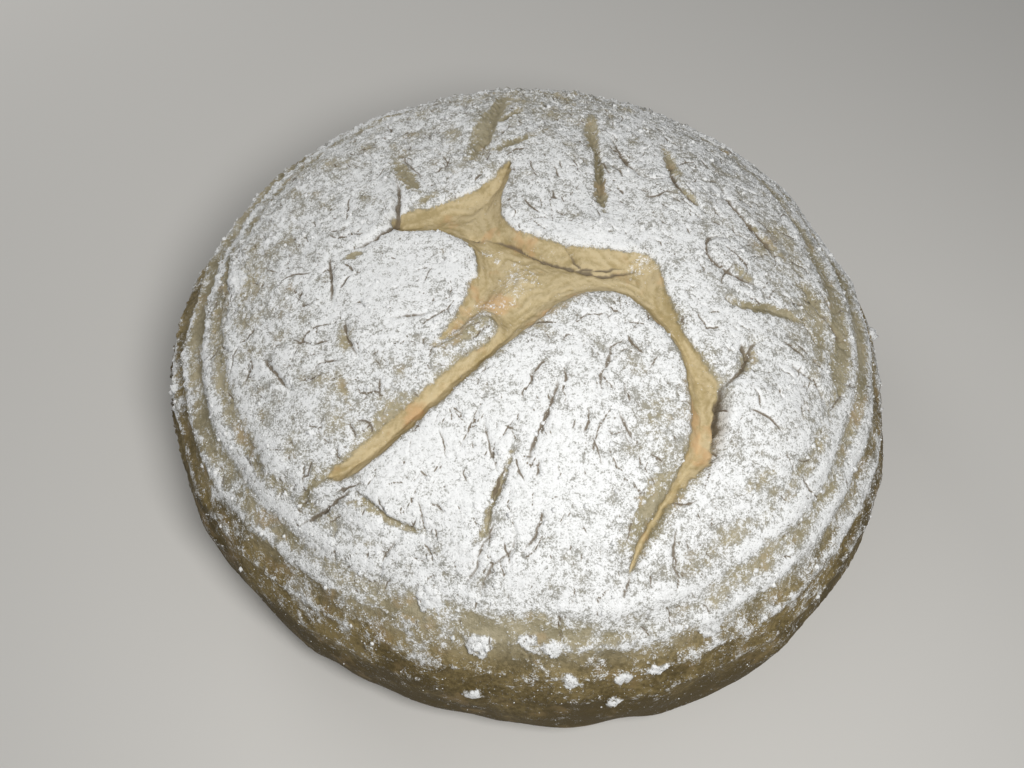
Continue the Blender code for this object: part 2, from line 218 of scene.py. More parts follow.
# Short cracks in the flour: where they run which way, how strictly, and how thickly they lie
CRACK_RUNS = (
    (10, -50, -97, 0.85, 1.3), (-15, -72, -112, 0.85, 1.2), (34, -72, -70, 0.7, 1.1),
    (15, -95, -95, 0.8, 1), (-45, -5, 20, 0.15, 0.9), (-58, -35, 15, 0.3, 0.9),
    (-88, 10, -60, 0.35, 0.8), (-62, 50, 30, 0.5, 0.8), (-25, 58, 48, 0.75, 0.9),
    (5, 60, -70, 0.8, 1.1), (32, 42, -50, 0.85, 1.4), (62, 30, -45, 0.85, 1.3),
    (58, 0, -25, 0.5, 0.9), (78, -28, -40, 0.6, 0.8), (66, -58, 25, 0.5, 0.7),
    (62, -88, -60, 0.5, 0.7), (-65, -80, 35, 0.6, 0.9), (-95, -50, 50, 0.4, 0.7),
    (0, -130, -90, 0.4, 0.5), (0, 130, 90, 0.4, 0.5), (130, 0, 0, 0.4, 0.5),
    (-130, 0, 0, 0.4, 0.5),
)
SHORT_CRACKS = 3000
SHORT_CRACK_SEED = 11
SHORT_CRACKS_END = 118.0
CRACK_STEP = 0.4
CRACK_LENGTH = 3.2
LONGEST_CRACK = 13.0
CRACK_WIDTHS = (0.22, 0.46)
CRACK_DEPTHS = (0.2, 0.9)
CRACK_WOBBLE = 0.13
KINK_CHANCE = 0.07
KINK = 0.55
CRACK_DRIFT = 0.25

# Where the flour is thin: middle of the patch, its two radii, the turn, and how bare it is
THIN_PATCHES = (
    (-15, 66, 2.9, 22, -14, 1), (-7, 50, 8, 1.7, 30, 0.8), (-8, 70, 7, 1.3, 50, 0.5),
    (20, 61, 2.2, 11, -3, 0.9), (22, 31, 2, 9, 3, 0.9), (46, 48, 1.7, 9, 10, 0.85),
    (51, 31, 1.4, 6, 29, 0.5), (70, 26, 1.4, 12, 51, 0.4), (78, 18, 1.6, 7, 45, 0.5),
    (73, -9, 11, 1.8, 0, 0.75), (62, -28, 2.6, 6, -35, 0.6), (64, 2, 5, 1.6, -35, 0.5),
    (92, -2, 1.8, 11, 40, 0.6), (-40, 36, 11, 2.6, 119, 0.85), (-32, 25, 7, 1.6, 35, 0.5),
    (-17, -26, 10, 3.4, 41, 0.5), (-52, 4, 3.4, 1.6, 20, 0.85), (-54, -25, 1.7, 4, 10, 0.75),
    (-54, -41, 1.8, 6, 20, 0.5), (-41, -50, 10, 3, 45, 0.5), (-47, -78, 16, 2.2, -25, 0.4),
    (-65, -70, 2.4, 8, -39, 0.55), (34, -73, 4, 14, -23, 0.6), (36, -48, 7, 12, 0, 0.3),
    (66, -62, 3, 9, -50, 0.4), (-82, 62, 22, 6, -50, 0.35),
)

# Where flour is caked thickly: middle of the patch, its two radii, the turn and the strength
THICK_PATCHES = (
    (-97, 14, 11, 3.5, 80, 1), (-74, -30, 8, 6, 30, 0.9), (-76, -58, 8, 6, 30, 0.9),
    (-62, 10, 10, 5, 80, 0.8), (-52, 38, 8, 6, 60, 0.8), (20, 14, 8, 6, 0, 1),
    (-38, -72, 12, 8, 10, 0.8), (72, -30, 10, 7, 60, 0.7), (82, -48, 5, 4, 0, 0.8),
    (0, -112, 20, 5, 0, 0.7), (50, -96, 14, 5, 30, 0.6), (-40, -104, 12, 4, -20, 0.6),
)

# How much flour lies where, and over how many millimetres it thins towards the tear
FLOUR_AMOUNTS = (
    (5, -60, 1.12, 5), (8, -22, 0.86, 6), (30, -42, 0.76, 7), (40, -70, 0.76, 6),
    (62, -58, 0.82, 1), (-20, -62, 1.15, 2.5), (-35, -76, 1.04, 2), (-42, -8, 1.1, 0.9),
    (-30, 5, 0.92, 0.9), (-25, -36, 0.74, 3), (-50, -50, 0.64, 4), (-60, -30, 0.74, 1),
    (-75, -55, 0.68, 1), (-90, 0, 0.58, 1), (-75, 40, 0.68, 1), (-50, 60, 0.7, 1),
    (-15, 55, 0.68, 1.5), (0, 80, 0.58, 1), (5, 30, 0.82, 1.2), (20, 15, 0.95, 0.9),
    (35, 40, 0.78, 1), (60, 55, 0.72, 1), (55, 25, 0.8, 1), (58, -5, 0.88, 1), (85, 15, 0.57, 1),
    (72, -40, 0.86, 1), (90, -50, 0.7, 1), (60, -85, 0.62, 1), (30, -105, 0.85, 1),
    (-5, -105, 0.86, 1), (-45, -98, 0.8, 1), (0, 110, 0.57, 1), (-95, -45, 0.64, 1),
    (100, -10, 0.36, 1),
)
MOST_FLOUR = 1.2

# Flour fallen into the tear: middle, radius and amount
SPILLS = (
    (-10, 3, 1.6, 0.55), (-13, 5, 1.1, 0.5), (-4, -4, 3.2, 0.4), (34, 3, 3, 0.5),
    (-13, -16, 4.5, 0.4), (12, 8, 2.4, 0.4),
)

SLIVER_FLOUR = 0.5

# Coat of flour: its thickness, grain, edge and clumps, in millimetres
COAT_THICKNESS = 0.55
COAT_GRAIN = 0.13
COAT_EDGE = 1.2
EDGE_RAGGEDNESS = 0.35
CLUMP_HEIGHTS = (0.25, 1.0)

# How unevenly flour lies, how far it fades out below the crown, and what rings add
PATCHINESS = 0.28
CAKED_EXTRA = 0.15
FLOUR_FADE = 15.0
CREST_FLOUR = 0.45
INNER_CREST_FLOURS = (0.15, 0.5)

# Where down the map the crust turns darker, where painted shade darkens it low down towards the
# foot, and how strongly
DARK_SIDE = (112.0, 132.0)
LOW_SHADE_SPAN = (128.0, 168.0)
LOW_SHADE_STRENGTH = 1.4

# Heading round the loaf, where the crown's flour ends, and how much lies below
SIDES = (
    (-180, 108, 0.2), (-128, 120, 0.32), (-108, 109, 0.26), (-88, 108, 0.14), (-60, 120, 0.28),
    (-33, 127, 0.42), (0, 126, 0.35), (45, 136, 0.45), (90, 126, 0.4), (140, 114, 0.25),
    (180, 108, 0.2),
)

# How far noise bends edges and cracks
BEND = 0.45
FINE_BEND = 0.12
CRACK_BEND = 0.6
LUMP_BEND = 1.7

# Layered noise over the map: size in millimetres, seed and layers
RAGGED = (1.8, 200, 2)
PATCHY = (8.0, 210, 3)
SIDE_PATCHY = (6.0, 230, 3)
SIDE_BROAD = (21.0, 234, 2)
SPILL_PATCHY = (5.0, 240, 2)
COAT_ROUGH = (1.7, 300, 2)
CLUMPED = (2.8, 310, 2)
CRACK_UNEVEN = (2.6, 340, 2)
CRACK_BENDS = ((3.0, 342, 2), (3.0, 344, 2))
EDGE_ROUGH = (2.4, 404, 2)
LUMP_BENDS = ((3.4, 410, 2), (3.4, 412, 2))
LUMP_ROUGH = (1.8, 414, 2)
STRAND_DRIFT_SEED = 350
STRAND_SEED = 360

# Strands of stretched dough on the tear's floor: the way from one to the next, and the height
STRANDS = ((2.7, 0.22), (1.2, 0.1))

# Loose grains and small clots of flour
GRAINS = 24500
GRAIN_SIZES = (0.13, 0.36)
GRAIN_SEED = 3
CLOTS = 900
CLOT_SIZES = (0.3, 0.85)
CLOT_SEED = 8
CLOT_SHAPE_SEED = 21
SCATTER_END = 178.0
STRAY_FLOUR = 0.004

# Colours of the crust, the tear and the flour, and of painted shade in cracks and flour pits
TEAR_PALE = (0.57, 0.465, 0.275, 1.0)
TEAR_DARK = (0.39, 0.305, 0.15, 1.0)
TEAR_BLUSH = (0.58, 0.37, 0.185, 1.0)
SIDE_PALE = (0.275, 0.207, 0.085, 1.0)
SIDE_DARK = (0.092, 0.065, 0.021, 1.0)
SIDE_BLUSH = (0.25, 0.175, 0.075, 1.0)
FLOUR_WHITE = (0.87, 0.87, 0.855, 1.0)
FLOUR_SHADE = (0.48, 0.48, 0.45, 1.0)
# Painted shade of flour in the pits of a thick coat
FLOUR_PIT_SHADE = (0.325, 0.315, 0.28, 1.0)
CROWN_PALE = (0.44, 0.385, 0.26, 1.0)
CROWN_DARK = (0.26, 0.225, 0.135, 1.0)
CROWN_BLUSH = (0.44, 0.33, 0.19, 1.0)
# Dark line in cracks: partly the brown crust, partly painted shade in their depth
CRACK_BROWN_AND_SHADE = (0.165, 0.13, 0.085, 1.0)
SPECK_BROWN = (0.10, 0.07, 0.03, 1.0)

# Shader noise: scales per metre
PATCH_SCALE = 55.0
BLUSH_SCALE = 95.0
DRIFT_SCALE = 150.0
CLUMP_SCALE = 560.0
SPOT_SCALE = 700.0
SPECK_SCALE = 1100.0
GRAIN_SCALE = 1900.0

# Hairline cracks in thin flour: cells per metre, width in metres, and turn
HAIRLINE_SCALE = 170.0
HAIRLINE_WIDTH = 0.0002
HAIRLINE_TURN = (0.3, 0.6, 0.0)

# How strongly streaks with the painted shade low down, the load of flour, speckle and drift count
STREAK_AND_LOW_SHADE_SHARE = 0.14
LOAD_SHARE = 0.22
SPECKLE = 1.75
DRIFT = 0.7

# Amounts of flour over which the pits turn from bare crust to painted shade of grey flour, and
# over which it turns white
PIT_SHADE_COVERS = (0.35, 0.80)
FLOUR_SPAN = (0.15, 0.80)

# Camera, fitted to the loaf in the picture, in millimetres and degrees
PICTURE_WIDTH_ANGLE = 51.3
CAMERA_HEIGHT_ANGLE = 59.6
CAMERA_DISTANCE = 377.0
CAMERA_AIM_HEIGHT = 34.3
CAMERA_YAW = -0.87
CAMERA_PITCH = -0.43
CAMERA_ROLL = 1.04
SENSOR_WIDTH = 36.0

# Lights: name, place, size, power and the point that they face, in metres and watts
LIGHTS = (
    ("key", (0.08, -0.22, 0.41), 0.14, 1.36, (0.0, -0.01, 0.06)),
    ("fill", (-0.55, 0.6, 0.35), 0.5, 2.5, (0.0, 0.0, 0.04)),
)
SURROUND_COLOUR = (0.93, 0.96, 1.0, 1.0)
SURROUND_STRENGTH = 0.2

# Floor: half its width and its height, in millimetres, and its colour
FLOOR_HALF = 3000.0
FLOOR_DROP = -0.2
FLOOR_COLOUR = (0.66, 0.64, 0.60, 1.0)


def ease(value):
    """Run smoothly from 0 to 1 as the value does."""
    part = np.clip(value, 0.0, 1.0)
    return part * part * (3.0 - 2.0 * part)


def meridian():
    """Way down over the crust, with the radius and the height that it reaches."""
    turn = np.linspace(0.0, np.pi / 2, 1600)
    dome_radius = RADIUS * np.sin(turn) ** (2 / SHOULDER_ROUNDNESS)
    dome_height = BELLY_HEIGHT + (HEIGHT - BELLY_HEIGHT) * np.cos(turn) ** (2 / CROWN_ROUNDNESS)
    turn = turn[1:]
    under_radius = FOOT_RADIUS + (RADIUS - FOOT_RADIUS) * np.cos(turn)
    under_height = BELLY_HEIGHT * (1.0 - np.sin(turn))
    radius = np.concatenate((dome_radius, under_radius))
    height = np.concatenate((dome_height, under_height))
    steps = np.hypot(np.diff(radius), np.diff(height))
    return np.concatenate(((0.0,), np.cumsum(steps))), radius, height


WAY, WAY_RADIUS, WAY_HEIGHT = meridian()
RIM = WAY[-1]


def body_point(u, v):
    """Wrap a point of the map over the plain body."""
    way = np.hypot(u, v)
    angle = np.arctan2(v, u)
    out = 1.0 + TWO_LOBED[0] * np.cos(2 * angle) + TWO_LOBED[1] * np.sin(2 * angle)
    out += THREE_LOBED[0] * np.cos(3 * angle) + THREE_LOBED[1] * np.sin(3 * angle)
    radius = np.interp(way, WAY, WAY_RADIUS) * out
    height = np.interp(way, WAY, WAY_HEIGHT)
    return np.stack((radius * np.cos(angle), radius * np.sin(angle), height), axis=-1)


def body_normal(u, v):
    """Outward direction of the plain body, from two short steps on the map."""
    way = np.hypot(u, v)
    inward = np.minimum(1.0, (RIM - 0.2) / np.maximum(way, 0.2))
    u = u * inward
    v = v * inward
    step = 0.1
    across = body_point(u + step, v) - body_point(u - step, v)
    along = body_point(u, v + step) - body_point(u, v - step)
    normal = np.cross(across, along)
    return normal / np.linalg.norm(normal, axis=-1, keepdims=True)


def rounded(points, closed):
    """Draw a smooth line through a few points."""
    pins = np.array(points, dtype=float)
    extra = (pins[-1:], pins[:2]) if closed else (pins[:1], pins[-1:])
    pins = np.concatenate((extra[0], pins, extra[1]))
    line = []
    for before, start, end, after in zip(pins, pins[1:], pins[2:], pins[3:]):
        pull = -before + 3 * start - 3 * end + after
        bend = 2 * before - 5 * start + 4 * end - after
        for part in (0.0, 0.25, 0.5, 0.75):
            line.append(start + 0.5 * part * ((end - before) + part * (bend + part * pull)))
    if not closed:
        line.append(pins[-1])
    return np.array(line)


def near_line(u, v, line, closed=False):
    """Distance to a line, its left or right side, and the share of its length reached."""
    ends = np.roll(line, -1, axis=0) if closed else line[1:]
    starts = line if closed else line[:-1]
    lengths = np.hypot(*(ends - starts).T)
    reached = np.concatenate(((0.0,), np.cumsum(lengths)))
    nearest = np.full(u.shape, 1e9)
    side = np.zeros(u.shape)
    share = np.zeros(u.shape)
    for index, (start, end) in enumerate(zip(starts, ends)):
        run_u, run_v = end - start
        off_u = u - start[0]
        off_v = v - start[1]
        part = np.clip((off_u * run_u + off_v * run_v) / max(lengths[index] ** 2, 1e-9), 0, 1)
        away = np.hypot(off_u - part * run_u, off_v - part * run_v)
        closer = away < nearest
        nearest = np.where(closer, away, nearest)
        side = np.where(closer, np.sign(run_u * off_v - run_v * off_u), side)
        share = np.where(closer, (reached[index] + part * lengths[index]) / reached[-1], share)
    return nearest, side, share


def inside(u, v, line):
    """True where a point lies within a closed line."""
    crossings = np.zeros(u.shape, dtype=int)
    for start, end in zip(line, np.roll(line, -1, axis=0)):
        spans = (start[1] > v) != (end[1] > v)
        slope = (end[0] - start[0]) / (end[1] - start[1] if end[1] != start[1] else 1e-9)
        crossings += spans & (u < start[0] + (v - start[1]) * slope)
    return crossings % 2 == 1


def tear_distance(u, v):
    """Distance to the tear's edge, positive inside the tear."""
    outline = rounded(TEAR, True)
    edge, _, _ = near_line(u, v, outline, closed=True)
    return np.where(inside(u, v, outline), edge, -edge)


def tear_relief(tear):
    """Sunk bare floor of the tear, with the crust curled up along its edge."""
    edge = np.abs(tear)
    sink = ease(0.25 + 0.75 * edge / TEAR_SHOULDER) * TEAR_DEPTH
    sink *= 1.0 - FLOOR_RISE * ease((edge - TEAR_SHOULDER) / FLOOR_MIDDLE)
    rim = TEAR_DEPTH * ease(0.25 - 0.75 * edge / TEAR_SHOULDER)
    curl = EDGE_CURL * (edge / EDGE_REACH) * np.exp(1.0 - edge / EDGE_REACH)
    return np.where(tear > 0, -sink, curl - rim)


def sliver_strength(u, v):
    """Narrow strip of crust left standing inside the tear: its height and its flour."""
    away, _, share = near_line(u, v, rounded(SLIVER, False))
    height = (1.0 - share) ** 0.7 * np.exp(-((away / SLIVER_WIDTH) ** 2))
    flour = SLIVER_FLOUR * (1.0 - 0.25 * share) * np.exp(-((away / (2.6 + 2.4 * share)) ** 4))
    return height, flour


def crack_relief(u, v, uneven, crack):
    """Points near one crack, and its lifted side, groove, dark line of crust brown and painted
    shade, and bare floor there.
    """
    points, half_width, depth, lift, line_width = crack
    pins = np.array(points)
    margin = 3.5 * EDGE_REACH
    close = (u > pins[:, 0].min() - margin) & (u < pins[:, 0].max() + margin)
    close &= (v > pins[:, 1].min() - margin) & (v < pins[:, 1].max() + margin)
    close = np.flatnonzero(close)
    away, side, share = near_line(u[close], v[close], rounded(points, False))
    taper = np.sin(np.pi * np.clip(share, 0.03, 0.97)) ** 0.5
    line = taper * np.exp(-((away / (line_width * uneven[close])) ** 2))
    groove = depth * (0.45 * taper * np.exp(-((away / half_width) ** 2)) + 0.55 * line)
    # Painted shade: a shallow crack gets a lighter dark line than a deep one
    if depth < SHALLOW_SPLIT:
        line *= np.interp(half_width, (NARROW_SPLIT, OPEN_SPLIT), (1.0, WIDE_LINE_SHADE))
    line *= half_width < OPEN_SPLIT
    lip = lift * taper * ease(away / LIP_START) * np.exp(-((away / EDGE_REACH) ** 2))
    open_share = taper * np.exp(-((away / (0.7 * half_width)) ** 4)) * (half_width >= OPEN_SPLIT)
    return close, np.where(side > 0, lip, 0.0), groove, line, open_share


def all_cracks(u, v):
    """Lift, groove, dark line (crust brown and painted shade) and bare floor of every named crack
    together.
    """
    uneven = np.clip(1.0 + 0.8 * layered_noise(u, v, *CRACK_UNEVEN), 0.3, 1.7)
    bend_u, bend_v = (CRACK_BEND * layered_noise(u, v, *bend) for bend in CRACK_BENDS)
    lifts, grooves, crack_lines_and_shade, opens = np.zeros((4, u.size))
    cracks = [(crack + (LINE_SHARE * crack[1],), 0.3) for crack in CRACKS]
    for width, lines_of_points in FINE_CRACKS:
        sizes = (min(1.5 * width, 1.7), FINE_DEPTH * width**0.5, 0.0, 0.8 * width)
        cracks += [((points,) + sizes, 1.0) for points in lines_of_points]
    for crack, bent in cracks:
        bent_u, bent_v = u + bent * bend_u, v + bent * bend_v
        close, lift, groove, line, bare = crack_relief(bent_u, bent_v, uneven, crack)
        lifts[close] += lift
        grooves[close] = np.maximum(grooves[close], groove)
        crack_lines_and_shade[close] = np.maximum(crack_lines_and_shade[close], line)
        opens[close] = np.maximum(opens[close], bare)
    return lifts, grooves, crack_lines_and_shade, opens


def patch_strength(u, v, patch):
    """Height or strength of a patch, fading out round its middle."""
    middle_u, middle_v, long_radius, short_radius, turn, strength = patch
    angle = np.radians(turn)
    long_way = (u - middle_u) * np.cos(angle) + (v - middle_v) * np.sin(angle)
    short_way = (v - middle_v) * np.cos(angle) - (u - middle_u) * np.sin(angle)
    return strength * np.exp(-((long_way / long_radius) ** 2) - (short_way / short_radius) ** 2)


def strongest_patch(u, v, patches):
    """Strength of the strongest patch at each point."""
    strengths = np.zeros(u.shape)
    for patch in patches:
        strengths = np.maximum(strengths, patch_strength(u, v, patch))
    return strengths


def ring_crest(u, v):
    """Height of the coil rings between 0 in a groove and 1 on a crest, and their strength."""
    way = np.hypot(u, v)
    angle = np.arctan2(v, u)
    sway = RING_SWAY * (np.sin(2 * angle + 0.6) + 0.6 * np.sin(5 * angle + 2.0))
    turn = 2 * np.pi * (way - FIRST_RING - sway) / RING_PITCH
    crest = (0.5 + 0.5 * np.cos(turn)) ** 1.4
    strength = ease((way - RINGS_BEGIN) / (RINGS_FULL - RINGS_BEGIN))
    strength *= 1.0 + RING_UNEVENNESS * (np.sin(3 * angle - 1.4) + 0.7 * np.sin(8 * angle))
    strength *= 1.0 - FRONT_RING_LOSS * np.maximum(-np.sin(angle), 0.0) ** 3
    start, end, share = RINGS_WEAKEN
    strength *= 1.0 - share * ease((way - start) / (end - start))
    return crest, strength


def wave_relief(u, v):
    """Slow unevenness, from seeded waves that run every way."""
    draw = np.random.default_rng(WAVE_SEED)
    total = np.zeros(u.shape)
    for length in np.geomspace(LONGEST_WAVE, SHORTEST_WAVE, WAVES):
        heading, start = draw.uniform(0.0, 2 * np.pi, 2)
        run = (u * np.cos(heading) + v * np.sin(heading)) * 2 * np.pi / length
        total += WAVE_HEIGHT * (length / LONGEST_WAVE) ** 0.5 * np.sin(run + start)
    return total


def noise(u, v, size, seed):
    """Seeded smooth noise over the map, about -1 to 1, with bumps of the given size."""
    table = np.random.default_rng(seed).uniform(0.0, 2 * np.pi, (256, 256))
    x = (u * 0.8 - v * 0.6) / size + 97.3
    y = (u * 0.6 + v * 0.8) / size + 41.7
    cell_x = np.floor(x).astype(int)
    cell_y = np.floor(y).astype(int)
    part_x = x - cell_x
    part_y = y - cell_y
    total = np.zeros(u.shape)
    for step_x in (0, 1):
        for step_y in (0, 1):
            turn = table[(cell_x + step_x) % 256, (cell_y + step_y) % 256]
            slope = np.cos(turn) * (part_x - step_x) + np.sin(turn) * (part_y - step_y)
            weight_x = ease(part_x) if step_x else 1.0 - ease(part_x)
            weight_y = ease(part_y) if step_y else 1.0 - ease(part_y)
            total += slope * weight_x * weight_y
    return total * 1.6


def layered_noise(u, v, size, seed, layers):
    """Noise with finer and weaker layers on top."""
    total = np.zeros(u.shape)
    for layer in range(layers):
        total += noise(u, v, size / 2**layer, seed + layer) * 0.55**layer
    return total


def blended(u, v, rows):
    """Values of the rows at each point, weighted towards the nearest rows."""
    total = np.zeros((len(rows[0]) - 2, u.size))
    whole = np.zeros(u.size)
    for row in rows:
        weight = ((u - row[0]) ** 2 + (v - row[1]) ** 2 + 60.0) ** -1.5
        total += weight * np.array(row[2:])[:, None]
        whole += weight
    return total / whole


def crack_heading(u, v):
    """Which way short cracks run, how strictly, and how thickly they lie."""
    rows = []
    for run_u, run_v, heading, strictness, density in CRACK_RUNS:
        doubled = 2 * np.radians(heading)
        rows.append((run_u, run_v, strictness * np.cos(doubled), strictness * np.sin(doubled),
                     strictness, density))
    across, along, strict, thick = blended(u, v, rows)
    return 0.5 * np.arctan2(along, across), strict, thick


def short_cracks():
    """Dots along many short wandering cracks: place, half width and depth of each dot."""
    draw = np.random.default_rng(SHORT_CRACK_SEED)
    way = SHORT_CRACKS_END * np.sqrt(draw.uniform(size=SHORT_CRACKS))
    angle = draw.uniform(0.0, 2 * np.pi, SHORT_CRACKS)
    u, v = way * np.cos(angle), way * np.sin(angle)
    heading, strict, thick = crack_heading(u, v)
    keep, flip, size, width, depth, bend = draw.uniform(size=(6, SHORT_CRACKS))
    spread = draw.normal(size=SHORT_CRACKS)
    heading += spread * (0.2 + 1.3 * (1.0 - strict)) + np.where(flip > 0.5, np.pi, 0.0)
    length = np.minimum(LONGEST_CRACK, 1.5 - CRACK_LENGTH * np.log(np.maximum(1.0 - size, 1e-3)))
    steps = np.where(keep < thick / 1.4, (length / CRACK_STEP).astype(int), 0)
    half_width = CRACK_WIDTHS[0] + (CRACK_WIDTHS[1] - CRACK_WIDTHS[0]) * width**2
    half_width *= 0.6 + 0.4 * np.minimum(1.0, length / 8.0)
    deepest = CRACK_DEPTHS[0] + (CRACK_DEPTHS[1] - CRACK_DEPTHS[0]) * depth
    dots = []
    for step in range(steps.max()):
        taper = np.sin(np.pi * np.clip((step + 0.5) / np.maximum(steps, 1), 0, 1)) ** 0.6
        dot = np.stack((u, v, half_width * (0.5 + 0.5 * taper), deepest * taper), axis=-1)
        dots.append(dot[steps > step])
        heading += (bend - 0.5) * CRACK_DRIFT * CRACK_STEP / 3.0
        heading += CRACK_WOBBLE * draw.normal(size=SHORT_CRACKS)
        kinked = draw.uniform(size=SHORT_CRACKS) < KINK_CHANCE
        heading += np.where(kinked, KINK * draw.normal(size=SHORT_CRACKS), 0.0)
        u = u + CRACK_STEP * np.cos(heading)
        v = v + CRACK_STEP * np.sin(heading)
    return np.concatenate(dots)


class ShortCracks:
    """Finds the nearest short crack to any point of the map."""

    def __init__(self):
        self.dots = short_cracks()
        self.tree = KDTree(len(self.dots))
        for index, dot in enumerate(self.dots):
            self.tree.insert((dot[0], dot[1], 0.0), index)
        self.tree.balance()

    def depth(self, u, v):
        """Depth of the cracks, and how much of a dark line, partly painted shade, there is."""
        near = np.flatnonzero(np.hypot(u, v) < SHORT_CRACKS_END + LONGEST_CRACK)
        found = [self.tree.find(place)[1:] for place in
                 np.stack((u[near], v[near], np.zeros(len(near))), axis=-1).tolist()]
        index, away = np.array(found).T
        half_width, deepest = self.dots[index.astype(int), 2:].T
        line = np.zeros(u.shape)
        depth = np.zeros(u.shape)
        # Painted shade: the dark line grows darker with the crack's depth
        line[near] = np.exp(-((away / half_width) ** 2)) * np.minimum(deepest / 0.5, 1.0)
        depth[near] = deepest * np.exp(-((away / (1.3 * half_width)) ** 2))
        return depth, line


def flour_cover(u, v, tear, crest, ringed, opens):
    """How thickly flour covers the skin outside the tear, 0 to 1."""
    way = np.hypot(u, v)
    ragged = layered_noise(u, v, *RAGGED)
    patchy = layered_noise(u, v, *PATCHY)
    amount, softness = blended(u, v, FLOUR_AMOUNTS)
    cover = amount * (1.0 + PATCHINESS * patchy)
    cover += CAKED_EXTRA * strongest_patch(u, v, THICK_PATCHES)
    front, beside = INNER_CREST_FLOURS
    swing = front + (beside - front) * ease((np.abs(u) - 30.0) / 45.0)
    cover += swing * (crest - 0.5 + 0.3 * ragged) * ease((way - RINGS_BEGIN) / 20.0)
    cover *= 0.5 + 0.5 * ease((0.6 - tear + 0.4 * ragged) / softness)
    bare = 1.1 * strongest_patch(u, v, THIN_PATCHES)
    cover *= 1.0 - ease(bare * (1.0 + 0.6 * ragged + 0.3 * patchy))
    cover *= 1.0 - 0.9 * opens * (0.6 + 0.4 * ease(0.5 + ragged))
    headings, ends, amounts = np.array(SIDES).T
    heading = np.degrees(np.arctan2(v, u))
    down = ease((way - np.interp(heading, headings, ends) + 3.0 * patchy) / FLOUR_FADE + 0.5)
    side = np.interp(heading, headings, amounts)
    rough_crest = np.maximum(crest + 0.25 * ragged, 0.0) ** 3
    side += CREST_FLOUR * rough_crest * (0.25 + 0.75 * np.minimum(ringed, 1.0))
    side += 0.3 * layered_noise(u, v, *SIDE_PATCHY) + 0.25 * layered_noise(u, v, *SIDE_BROAD)
    side *= 1.0 - 0.75 * ease((way - 124.0) / 40.0)
    return np.clip(cover * (1.0 - down) + side * down, 0.0, MOST_FLOUR)


def spilt_flour(u, v, sliver_flour):
    """How thickly flour lies inside the tear, on its sliver and where it fell."""
    ragged = layered_noise(u, v, *RAGGED)
    patchy = layered_noise(u, v, *SPILL_PATCHY)
    cover = sliver_flour * (1.0 + 0.5 * patchy)
    for spill_u, spill_v, radius, fallen in SPILLS:
        away = np.hypot(u - spill_u, v - spill_v) * (1.0 + 0.7 * patchy + 0.3 * ragged)
        cover = np.maximum(cover, fallen * np.exp(-((away / radius) ** 2)))
    return np.clip(cover, 0.0, 1.0)


def lump_state(u, v):
    """Height and flour of the caked lumps, with uneven outlines."""
    bent_u = u + LUMP_BEND * layered_noise(u, v, *LUMP_BENDS[0])
    bent_v = v + LUMP_BEND * layered_noise(u, v, *LUMP_BENDS[1])
    rough = 0.65 * (1.0 + 0.6 * layered_noise(u, v, *LUMP_ROUGH))
    height = np.zeros(u.shape)
    flour = np.zeros(u.shape)
    for middle_u, middle_v, radius, rise in LUMPS:
        away = np.hypot(bent_u - middle_u, bent_v - middle_v) / radius
        height = np.maximum(height, rise * ease(1.5 - 1.5 * away) * rough)
        flour = np.maximum(flour, ease(2.4 - 2.2 * away))
    return height, flour


def strand_relief(u, v, tear):
    """Stretched strands that run along the tear's edges, about -1 to 1, and their height."""
    total = np.zeros(u.shape)
    height = np.zeros(u.shape)
    for index, (pitch, rise) in enumerate(STRANDS):
        drift = 1.1 * noise(u, v, 3.2 * pitch, STRAND_DRIFT_SEED + index)
        wave = np.sin(2 * np.pi * (tear / pitch + drift))
        wave *= 0.55 + 0.6 * noise(u, v, 2.2 * pitch, STRAND_SEED + index)
        total += wave * (0.6 if index == 0 else 0.4)
        height += wave * rise
    return total, height


